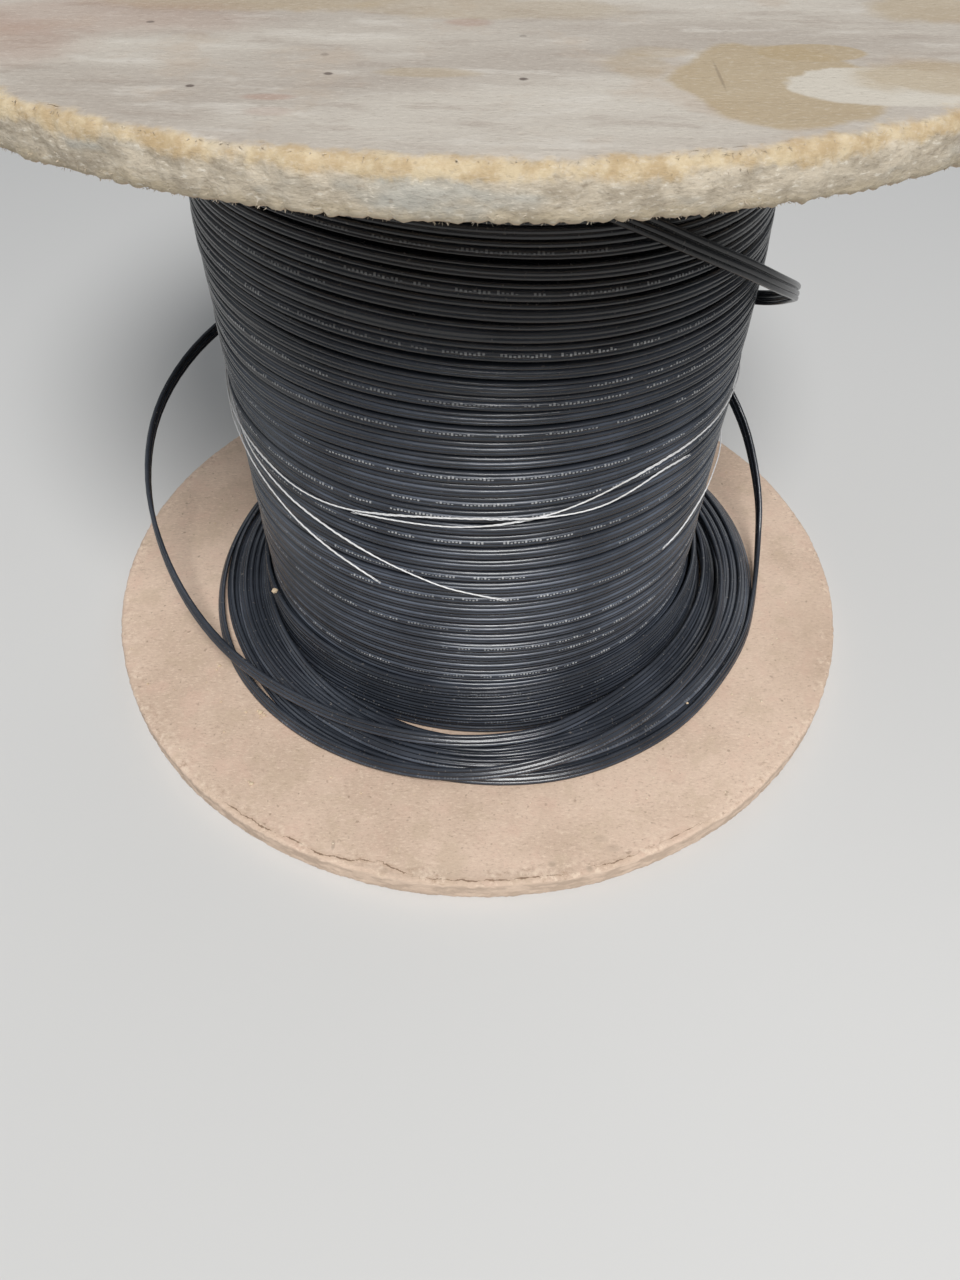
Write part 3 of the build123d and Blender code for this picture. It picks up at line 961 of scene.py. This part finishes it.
for vertex, distance, out_x, out_y in rim_vertices(lower_flange):
    x, y, z = vertex.co
    near_rim = max(0.0, 1 - (flange_radius - distance) / 0.012)
    side_place = Vector((out_x * 60, out_y * 60, z * 220))
    if distance > rim_side:
        wander = 0.00045 * noise.noise(Vector((out_x * 5, out_y * 5, 2.0)))
        chips = noise.noise(side_place * 1.4) + 0.5 * noise.noise(side_place * 4)
        layers = 0.5 + 0.5 * noise.noise(Vector((out_x * 9, out_y * 9, 7.7)))
        upper_split = exp(-((z - 0.0066) / split_width) ** 2)
        lower_split = exp(-((z - 0.0036) / split_width) ** 2)
        distance += wander + 0.00034 * chips
        distance -= 0.00035 * (upper_split * layers + lower_split * (1 - layers))
    if z > flange_thickness - near_face:
        front = exp(-(degrees(atan2(x, -y)) / 62) ** 2)
        beside = crack_beside(x, y, rim_cracks)
        crack_mark.data[vertex.index].value = beside
        z -= 0.0003 * max(0.0, 1 - abs(beside + 0.0012) / 0.0012)
        z -= 0.0006 * near_rim * front * (0.5 + 0.5 * noise.noise(Vector((x * 90, y * 90, 1.0))))
        z += 0.00006 * noise.noise(Vector((x * 500, y * 500, 3.0)))
    distance = min(distance, flange_radius)
    vertex.co = (distance * out_x, distance * out_y, min(max(z, 0.0), flange_thickness))

# the upper flange stood in the rain: its rim has swollen and gone furry
for vertex, distance, out_x, out_y in rim_vertices(upper_flange):
    x, y, z = vertex.co
    height = z - (drum_height - flange_thickness)
    side_place = Vector((out_x * 60, out_y * 60, z * 160))
    fur = noise.noise(side_place * 5.5)
    near_rim = max(0.0, 1 - (flange_radius - distance) / 0.008)
    if distance > rim_side:
        lumps = noise.noise(side_place * 0.55) + 0.6 * noise.noise(side_place * 1.9)
        wander = noise.noise(Vector((out_x * 4, out_y * 4, 6.0)))
        bulge = sin(pi * min(max(height / flange_thickness, 0.0), 1.0))
        distance += 0.0003 * wander + 0.0004 * lumps + 0.0004 * fur - 0.0008 * (1 - bulge)
        z += 0.0003 * noise.noise(side_place * 3 + Vector((5, 0, 0)))
    if height < near_face:
        ragged = noise.noise(Vector((out_x * 100, out_y * 100, 4.0)))
        tufts = max(0.0, noise.noise(Vector((out_x * 170, out_y * 170, 9.0))))
        z -= near_rim * (0.0004 + 0.0006 * ragged + 0.0010 * tufts)
    elif height > flange_thickness - near_face:
        swollen = noise.noise(Vector((x * 45, y * 45, 8.0)))
        z -= near_rim ** 2 * (0.0005 - 0.0005 * swollen) + 0.00015 * near_rim * fur
    distance = min(distance, flange_radius)
    vertex.co = (distance * out_x, distance * out_y, min(z, drum_height))

for flange, node in ((lower_flange, "bottom_flange"), (upper_flange, "top_flange")):
    pick(flange)
    bpy.ops.object.shade_smooth_by_angle(angle=radians(42))
    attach(flange, "root")
    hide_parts(node)

# Fibreboard's own look: pressed wood fibre, fine pale and dark hairs, soft
# cloudy patches, and a few dark specks of bark
board_fibre, (position,) = new_group("board_fibre", Position=(0, 0, 0))
cloud = position.speckle(22.0, 5.0, 0.6)
hair = position.stretched(1.0, 2.2, 2.2).speckle(620.0, 5.0, 0.7)
bark = position.speckle(430.0, 1.0).fade(0.70, 0.78)
close_group(board_fibre, Cloud=cloud, Hair=hair, Bark=bark, Height=hair + cloud * 0.4)

# A soaked or worn patch with an uneven edge, by its middle and half size
board_stain, (position, middle, half_size, ragged, soft) = new_group(
    "board_stain", Position=(0, 0, 0), Middle=(0, 0, 0), Half_Size=(1, 1, 1), Ragged=0.3, Soft=0.1)
reach = position.vector("SUBTRACT", middle).vector("DIVIDE", half_size).length()
reach = reach + (position.speckle(75.0, 4.0) - 0.5) * ragged
close_group(board_stain, Mask=reach.fade(1.0 - soft, 1.0 + soft, 1.0, 0.0))
stain_depth = 0.02


def stains(position, tone, level, ragged, soft, *places):
    """Layers of one colour, each by its middle and half size in mm and its strength."""
    layers = []
    for x, y, half_x, half_y, strength in places:
        stain = use_group(
            position.socket.id_data, board_stain, Position=position, Middle=(x * mm, y * mm, level),
            Half_Size=(half_x * mm, half_y * mm, stain_depth), Ragged=ragged, Soft=soft)
        layers.append((stain["Mask"] * strength, tone))
    return layers


def new_board(name):
    """A fibreboard material with its shader, the place on the object and the fibre masks."""
    material, shader, position = new_material(name)
    return material, shader, position, use_group(material.node_tree, board_fibre, Position=position)


def finish_board(shader, colour, height, roughness, depth):
    """Give a board its colour, relief and roughness."""
    set_inputs(shader, Base_Color=colour, Normal=height.bump(0.6, depth), Roughness=roughness,
               Specular_IOR_Level=0.25)


def plain_board(name, dark, pale, depth):
    """A fibreboard that only varies cloudily from a dark tone to a pale one."""
    material, shader, _, fibre = new_board(name)
    finish_board(shader, fibre["Cloud"].fade(0.4, 0.6).mix(dark, pale), fibre["Height"], 0.9, depth)
    return material


# raw board of the lower flange: warm, faintly pink, mottled in broad patches
raw_board, shader, position, fibre = new_board("raw_fibreboard")
mottle = position.speckle(75.0, 5.0, 0.65)
beside = add_node(raw_board.node_tree, "Attribute", {"attribute_name": "beside_crack"}, "Fac")
for fineness, wander in ((260.0, 0.0016), (1100.0, 0.0008)):
    beside = (position.speckle(fineness, 2.0) - 0.5).math("MULTIPLY_ADD", wander, beside)
beside = abs(beside)
painted_crack_shade = beside.math("LESS_THAN", position.speckle(190.0, 2.0).fade(0.36, 0.66, 0.00003, 0.00032))
frayed = position.length().fade(0.1500, 0.1575) * position.speckle(120.0, 3.0).fade(0.44, 0.58)
tufts = position.speckle(480.0, 4.0, 0.7)
side_mask = abs(up_part(raw_board.node_tree)).fade(0.35, 0.75, 1.0, 0.0)
side_tone = position.stretched(0.7, 0.7, 1.9).speckle(160.0, 4.0).fade(0.4, 0.6)
spot_tone = (0.33, 0.26, 0.20)
colour = layered(fibre["Cloud"].fade(0.38, 0.62).mix((0.62, 0.47, 0.365), (0.72, 0.555, 0.44)), (
    (fibre["Hair"].fade(0.51, 0.68, 0.0, 0.66), (0.84, 0.68, 0.54)),
    (fibre["Hair"].fade(0.31, 0.46, 0.52, 0.0), (0.38, 0.27, 0.20)),
    (fibre["Bark"] * 0.5, (0.26, 0.18, 0.13)),
    (mottle.fade(0.50, 0.68, 0.0, 0.35), (0.72, 0.50, 0.40)),
    (mottle.fade(0.34, 0.48, 0.35, 0.0), (0.55, 0.43, 0.31)),
    (position.speckle(9.0, 4.0, 0.6).fade(0.50, 0.75, 0.0, 0.35), (0.52, 0.39, 0.29)),
    *stains(position, spot_tone, flange_thickness, 1.2, 0.5,
            (45.7, -140.6, 2.0, 1.2, 0.2), (50.1, -144.2, 2.2, 1.4, 0.25), (40.8, -152.5, 1.2, 1.0, 0.5),
            (27.5, -150.9, 1.2, 0.9, 0.4), (-51.0, -144.5, 0.6, 1.6, 0.5)),
    *stains(position, spot_tone, 0.008, 1.2, 0.5, (10.0, -158.0, 50.0, 5.0, 0.15)),
    # Darker board along each crack line; inside the split itself, a near-black painted shade.
    (beside.fade(0.0004, 0.0018, 0.22, 0.0), (0.42, 0.29, 0.20)),
    (painted_crack_shade * 0.8, (0.19, 0.12, 0.075)),
    (frayed * tufts.fade(0.50, 0.62, 0.0, 0.6), (0.84, 0.69, 0.55)),
    (frayed * tufts.fade(0.36, 0.46, 0.6, 0.0), (0.40, 0.27, 0.19)),
    (side_mask * 0.8, side_tone.mix((0.53, 0.41, 0.32), (0.74, 0.58, 0.46))),
))
finish_board(shader, colour, fibre["Height"], 0.86, 0.0003)
lower_flange.data.materials.clear()
lower_flange.data.materials.append(raw_board)

# weathered board of the upper flange: grey, streaked, stained, ochre at the arris
weathered_board, shader, position, fibre = new_board("weathered_fibreboard")
streak_place = position.stretched(0.42, 1.5, 1.0, radians(4))
streaks = streak_place.speckle(120.0, 6.0, 0.62)
from_axis = position.vector("MULTIPLY", (1, 1, 0)).length()
level = position.axis("Z")
ragged = position.speckle(110.0, 5.0, 0.68) - 0.5
side_place = position.stretched(1.0, 1.0, 2.6)
flecks = side_place.speckle(520.0, 3.0, 0.6)
side_tone = side_place.speckle(130.0, 6.0, 0.7).fade(0.36, 0.64)
side_colour = layered(side_tone.mix((0.38, 0.325, 0.25), (0.60, 0.525, 0.415)), (
    (side_place.speckle(42.0, 3.0).fade(0.50, 0.66, 0.0, 0.6), (0.44, 0.45, 0.425)),
    (ragged.math("MULTIPLY_ADD", 0.008, level).fade(0.2462, 0.2436, 0.0, 0.6), (0.55, 0.46, 0.32)),
    (flecks.fade(0.58, 0.70, 0.0, 0.7), (0.72, 0.67, 0.58)),
    (flecks.fade(0.30, 0.42, 0.32, 0.0), (0.24, 0.19, 0.14)),
))
arris = ragged.math("MULTIPLY_ADD", 0.010, from_axis).fade(0.1556, 0.1584)
high_up = ragged.math("MULTIPLY_ADD", 0.007, level).fade(0.2492, 0.2508)
ochre = position.speckle(190.0, 4.0, 0.65).fade(0.38, 0.64).mix((0.47, 0.335, 0.175), (0.64, 0.52, 0.335))
tan = (0.40, 0.310, 0.192)
base = streak_place.speckle(24.0, 4.0, 0.55).fade(0.36, 0.64).mix((0.41, 0.365, 0.32), (0.52, 0.48, 0.425))
colour = layered(base, (
    (streaks.fade(0.52, 0.68, 0.0, 0.6), (0.59, 0.555, 0.505)),
    (streaks.fade(0.32, 0.46, 0.46, 0.0), (0.33, 0.275, 0.235)),
    (position.speckle(48.0, 5.0, 0.6).fade(0.52, 0.68, 0.0, 0.4), (0.45, 0.36, 0.28)),
    *stains(position, tan, drum_height, 0.45, 0.07,
            (53.5, -123.5, 18.8, 20.8, 0.8), (62.5, -107.5, 10.5, 5.0, 0.8)),
    *stains(position, (0.56, 0.52, 0.455), drum_height, 0.75, 0.06, (72.2, -124.5, 17.6, 9.8, 0.95)),
    *stains(position, tan, drum_height, 1.1, 0.25,
            (84.5, -119.5, 16.5, 8.5, 0.6), (94.0, -79.0, 13.0, 10.0, 0.6), (-10.7, -121.2, 9.0, 2.6, 0.45),
            (33.0, -108.5, 8.0, 3.0, 0.3), (27.5, -115.0, 6.5, 6.5, 0.35), (-52.0, -79.0, 28.0, 8.0, 0.55),
            (0.0, -83.0, 30.0, 7.0, 0.35), (-85.0, 40.0, 30.0, 18.0, 0.5), (60.0, 90.0, 24.0, 34.0, 0.55),
            (-20.0, 125.0, 35.0, 12.0, 0.4)),
    *stains(position, (0.38, 0.255, 0.205), drum_height, 0.9, 0.4,
            (-37.5, -134.0, 4.5, 1.4, 0.6), (-36.5, -140.5, 4.0, 2.0, 0.3), (-3.5, -92.5, 4.5, 2.2, 0.5),
            (-100.0, -108.0, 22.0, 14.0, 0.45), (-82.0, -92.0, 34.0, 11.0, 0.4)),
    *stains(position, (0.10, 0.075, 0.065), drum_height, 0.8, 0.35,
            (-67.1, -95.1, 0.8, 0.7, 0.7), (-51.9, -129.4, 0.8, 0.7, 0.85), (-28.4, -122.4, 0.8, 0.7, 0.8),
            (-30.2, -112.4, 0.8, 0.7, 0.4), (6.9, -123.7, 0.8, 0.7, 0.85), (7.3, -100.3, 0.8, 0.7, 0.35),
            (40.0, 72.0, 0.8, 0.7, 0.8), (-104.0, 30.0, 0.8, 0.7, 0.8), (112.0, 42.0, 0.8, 0.7, 0.8),
            (-48.0, 113.0, 0.8, 0.7, 0.8)),
    *stains(position, (0.16, 0.125, 0.09), drum_height, 0.5, 0.5, (42.7, -120.5, 0.3, 7.0, 0.4)),
    (from_axis.fade(0.1572, 0.1584), side_colour),
    (arris * high_up * 0.75, ochre),
    (fibre["Hair"].fade(0.50, 0.72, 0.0, 0.30), (0.70, 0.65, 0.57)),
    (fibre["Hair"].fade(0.30, 0.44, 0.35, 0.0), (0.27, 0.22, 0.17)),
    (up_part(weathered_board.node_tree).fade(-0.6, -0.85) * 0.75, (0.50, 0.39, 0.28)),
))
finish_board(shader, colour, fibre["Height"] + streaks * 1.2, 0.9, 0.0005)
upper_flange.data.materials.clear()
upper_flange.data.materials.append(weathered_board)

# Fur of the swollen rim: loose fibres and small tufts that stand off the upper
# flange's side and hang from its lower edge
fur_radius = 0.1598
fur_top = 0.2527
fur_levels = (0.2431, 0.2431, 0.2433, 0.2436, 0.2445, 0.2462, 0.2480, 0.2500, 0.2515, 0.2524)
fur_mesh = bmesh.new()
dice = random.Random(21)
for count in range(8000):
    angle = dice.uniform(0, 2 * pi)
    level = dice.choice(fur_levels)
    coarse = count % 10 == 0
    out = Vector((cos(angle), sin(angle), 0))
    along = Vector((-sin(angle), cos(angle), 0))
    low = level < 0.2440
    start = out * (0.1582 if low or level > 0.2510 else 0.1590)
    start += Vector((0, 0, level + dice.uniform(-0.0003, 0.0003)))
    run = out * dice.uniform(0.2, 1.0) + along * dice.uniform(-1.0, 1.0)
    run += Vector((0, 0, dice.uniform(-1.3, -0.2) if low else dice.uniform(-0.6, 0.5)))
    run = run.normalized() * dice.uniform(0.0004, 0.0010) * (0.55 if low else 0.7 if coarse else 1.0)
    bend = (along * dice.uniform(-0.6, 0.6) + Vector((0, 0, dice.uniform(-0.5, 0.2)))) * run.length
    thick = dice.uniform(0.00012, 0.00022) if coarse else dice.uniform(0.00004, 0.00007)
    side = run.cross(out + Vector((0, 0, 0.3))).normalized()
    other = run.cross(side).normalized()
    rings = []
    for share, size in ((0.0, 1.0), (0.55, 0.7), (1.0, 0.2)):
        middle = start + run * share + bend * share * share
        inwards = min(1.0, fur_radius / hypot(middle.x, middle.y))
        middle = Vector((middle.x * inwards, middle.y * inwards, min(middle.z, fur_top)))
        rings.append([
            fur_mesh.verts.new(middle + (side * cos(turn) + other * sin(turn)) * thick * size)
            for turn in (0.0, 2 * pi / 3, 4 * pi / 3)
        ])
    skin_tube(fur_mesh, rings)
rim_fur = new_piece("rim_fur", fur_mesh)
rim_fur.data.materials.append(plain_board("rim_fibre", (0.42, 0.35, 0.26), (0.58, 0.51, 0.41), 0.0001))
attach(rim_fur, "root")

# Crumbs of board and a bit of grit, shed from the rims, that lie on the lower
# flange and on the loose turns: places and sizes in mm
bpy.ops.object.select_all(action="DESELECT")
bpy.ops.mesh.primitive_ico_sphere_add(subdivisions=2, radius=1.0, location=(0, 0, 0))
crumb_shape = bpy.context.object
for vertex in crumb_shape.data.vertices:
    vertex.co *= 1 + 0.45 * noise.noise(vertex.co * 1.3 + Vector((4, 0, 0)))
crumb_places = [(x * mm, y * mm, size * mm) for x, y, size in (
    (-86.6, -85.9, 2.2), (-85.0, -87.2, 1.3), (-87.8, -85.0, 1.1), (-86.2, -88.4, 1.0), (-84.5, -119.2, 1.6),
    (-85.6, -118.3, 0.9), (-107.5, -61.9, 1.5), (-108.3, -64.0, 0.9), (-135.0, -72.0, 0.9),
    (-55.1, -115.7, 0.8), (-99.4, -95.4, 0.8), (-92.6, -85.6, 0.9), (-39.4, -132.8, 0.6),
    (-103.4, -80.6, 0.8), (-51.1, -143.9, 0.6), (-146.7, -53.1, 0.8), (104.4, -73.4, 0.8),
    (115.9, -76.8, 0.9), (112.0, -75.2, 0.6), (107.6, -94.2, 0.6), (10.2, -131.2, 0.5),
)]
dice = random.Random(5)
for count in range(90):
    angle = dice.uniform(0, 2 * pi)
    distance = dice.uniform(0.124, 0.157)
    size = dice.choice((0.0003, 0.0004, 0.0005, 0.0007))
    crumb_places.append((distance * cos(angle), distance * sin(angle), size))
crumbs = []


def lay_crumb(place, turn, sizes):
    """Add a copy of the crumb at a place, turned, with three half sizes."""
    crumb = bpy.data.objects.new(f"crumb_{len(crumbs)}", crumb_shape.data.copy())
    bpy.context.scene.collection.objects.link(crumb)
    turned = Matrix.Translation(place) @ Matrix.Rotation(turn, 4, "Z")
    crumb.data.transform(turned @ Matrix.Diagonal((*sizes, 1)))
    crumbs.append(crumb)


for x, y, size in crumb_places:
    sizes = (size / 2 * dice.uniform(0.8, 1.3), size / 2, size / 2 * 0.6)
    lay_crumb((x, y, flange_face + size * 0.2), dice.uniform(0, 6.28), sizes)
for x, y, z, size in (
    (-83.8, -42.0, 35.0, 2.4), (56.0, -99.0, 23.2, 0.9), (-62.0, -68.0, 31.0, 0.8), (83.0, -85.0, 19.0, 1.0),
    (45.0, -108.0, 22.5, 0.8),
):
    lay_crumb((x * mm, y * mm, z * mm), 0.0, (size * mm / 2, size * mm / 2, size * mm / 2.6))
bpy.data.objects.remove(crumb_shape)
pick(*crumbs)
bpy.ops.object.join()
board_crumbs = crumbs[0]
board_crumbs.name = "board_crumbs"
board_crumbs.data.name = "board_crumbs"
board_crumbs.data.materials.append(plain_board("board_crumb", (0.66, 0.52, 0.36), (0.80, 0.70, 0.55), 0.0002))
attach(board_crumbs, "root")

# Core: spiral-wound cardboard tube between the flanges, which the cable is
# wound on. Its seam shows inside the spindle hole.
card, shader, position, fibre = new_board("core_cardboard")
turn = position.axis("Y").math("ARCTAN2", position.axis("X"))
spiral = (position.axis("Z") * 11.0 + turn.math("DIVIDE", 2 * pi)).math("FRACT")
colour = layered(fibre["Cloud"].fade(0.4, 0.6).mix((0.40, 0.28, 0.17), (0.50, 0.36, 0.23)), (
    (fibre["Hair"].fade(0.5, 0.75, 0.0, 0.5), (0.60, 0.46, 0.31)),
    (abs(spiral - 0.5).fade(0.006, 0.014, 1.0, 0.0), (0.16, 0.10, 0.06)),
))
finish_board(shader, colour, fibre["Height"], 0.85, 0.0002)

# Tie rods, washers and nuts: zinc plated steel, dulled and spotted with rust,
# that clamps the flanges on the core. The rods are threaded.
zinc, shader, position = new_material("zinc_plate")
thread_pitch = 0.001
spangle = position.speckle(260.0, 2.0).fade(0.35, 0.65)
tarnish = position.speckle(70.0, 5.0, 0.65)
colour = spangle.mix((0.50, 0.50, 0.51), (0.62, 0.62, 0.63))
thread_turns = (position.axis("Z") * (2 * pi / thread_pitch)).math("SINE")
set_inputs(
    shader, Base_Color=tarnish.fade(0.56, 0.74, 0.0, 0.75).mix(colour, (0.30, 0.20, 0.13)),
    Metallic=tarnish.fade(0.5, 0.72, 1.0, 0.25), Roughness=tarnish.fade(0.4, 0.75, 0.32, 0.78),
    Normal=thread_turns.bump(0.5, 0.0002),
)

finishes = {
    "core_tube": card, "tie_rod": zinc, "washer": zinc, "nut": zinc, "bottom_flange": raw_board,
    "top_flange": weathered_board, "white_thread": thread_material,
}
for node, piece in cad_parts.items():
    finish = next((finishes[start] for start in finishes if node.startswith(start)), loose_jacket)
    if not piece.material_slots:
        piece.data.materials.append(finish)
    for slot in piece.material_slots:
        slot.material = finish

# Floor: plain and pale, only there for the drum to stand on, with soft
# daylight from above and in front and two weak fills.
bpy.ops.object.select_all(action="DESELECT")
bpy.ops.mesh.primitive_plane_add(size=40.0, location=(0, 0, 0))
floor_plane = bpy.context.object
floor_plane.name = "studio_floor"
floor_finish = bpy.data.materials.new("studio_floor")
floor_finish.use_nodes = True
set_inputs(floor_finish.node_tree.nodes["Principled BSDF"], Base_Color=(0.66, 0.66, 0.655, 1), Roughness=0.9)
floor_plane.data.materials.append(floor_finish)

world = bpy.data.worlds.new("studio")
bpy.context.scene.world = world
world.use_nodes = True
set_inputs(world.node_tree.nodes["Background"], Color=(0.90, 0.95, 1.0, 1), Strength=0.14)
for name, place, aim, size, power, tint in (
    ("front_window", (0.25, -1.30, 1.85), (0, 0, 0.06), 0.8, 47.0, (1.0, 0.99, 0.975)),
    ("side_fill", (-1.5, 0.1, 1.3), (0, 0, 0.10), 1.4, 3.2, (0.93, 0.97, 1.0)),
    ("back_fill", (0.7, 1.6, 1.3), (0, 0, 0.10), 1.4, 6.5, (0.97, 0.98, 1.0)),
):
    lamp_data = bpy.data.lights.new(name, "AREA")
    lamp_data.shape = "DISK"
    lamp_data.size = size
    lamp_data.energy = power
    lamp_data.color = tint
    lamp = bpy.data.objects.new(name, lamp_data)
    bpy.context.scene.collection.objects.link(lamp)
    lamp.location = place
    lamp.rotation_euler = (Vector(aim) - Vector(place)).to_track_quat("-Z", "Y").to_euler()
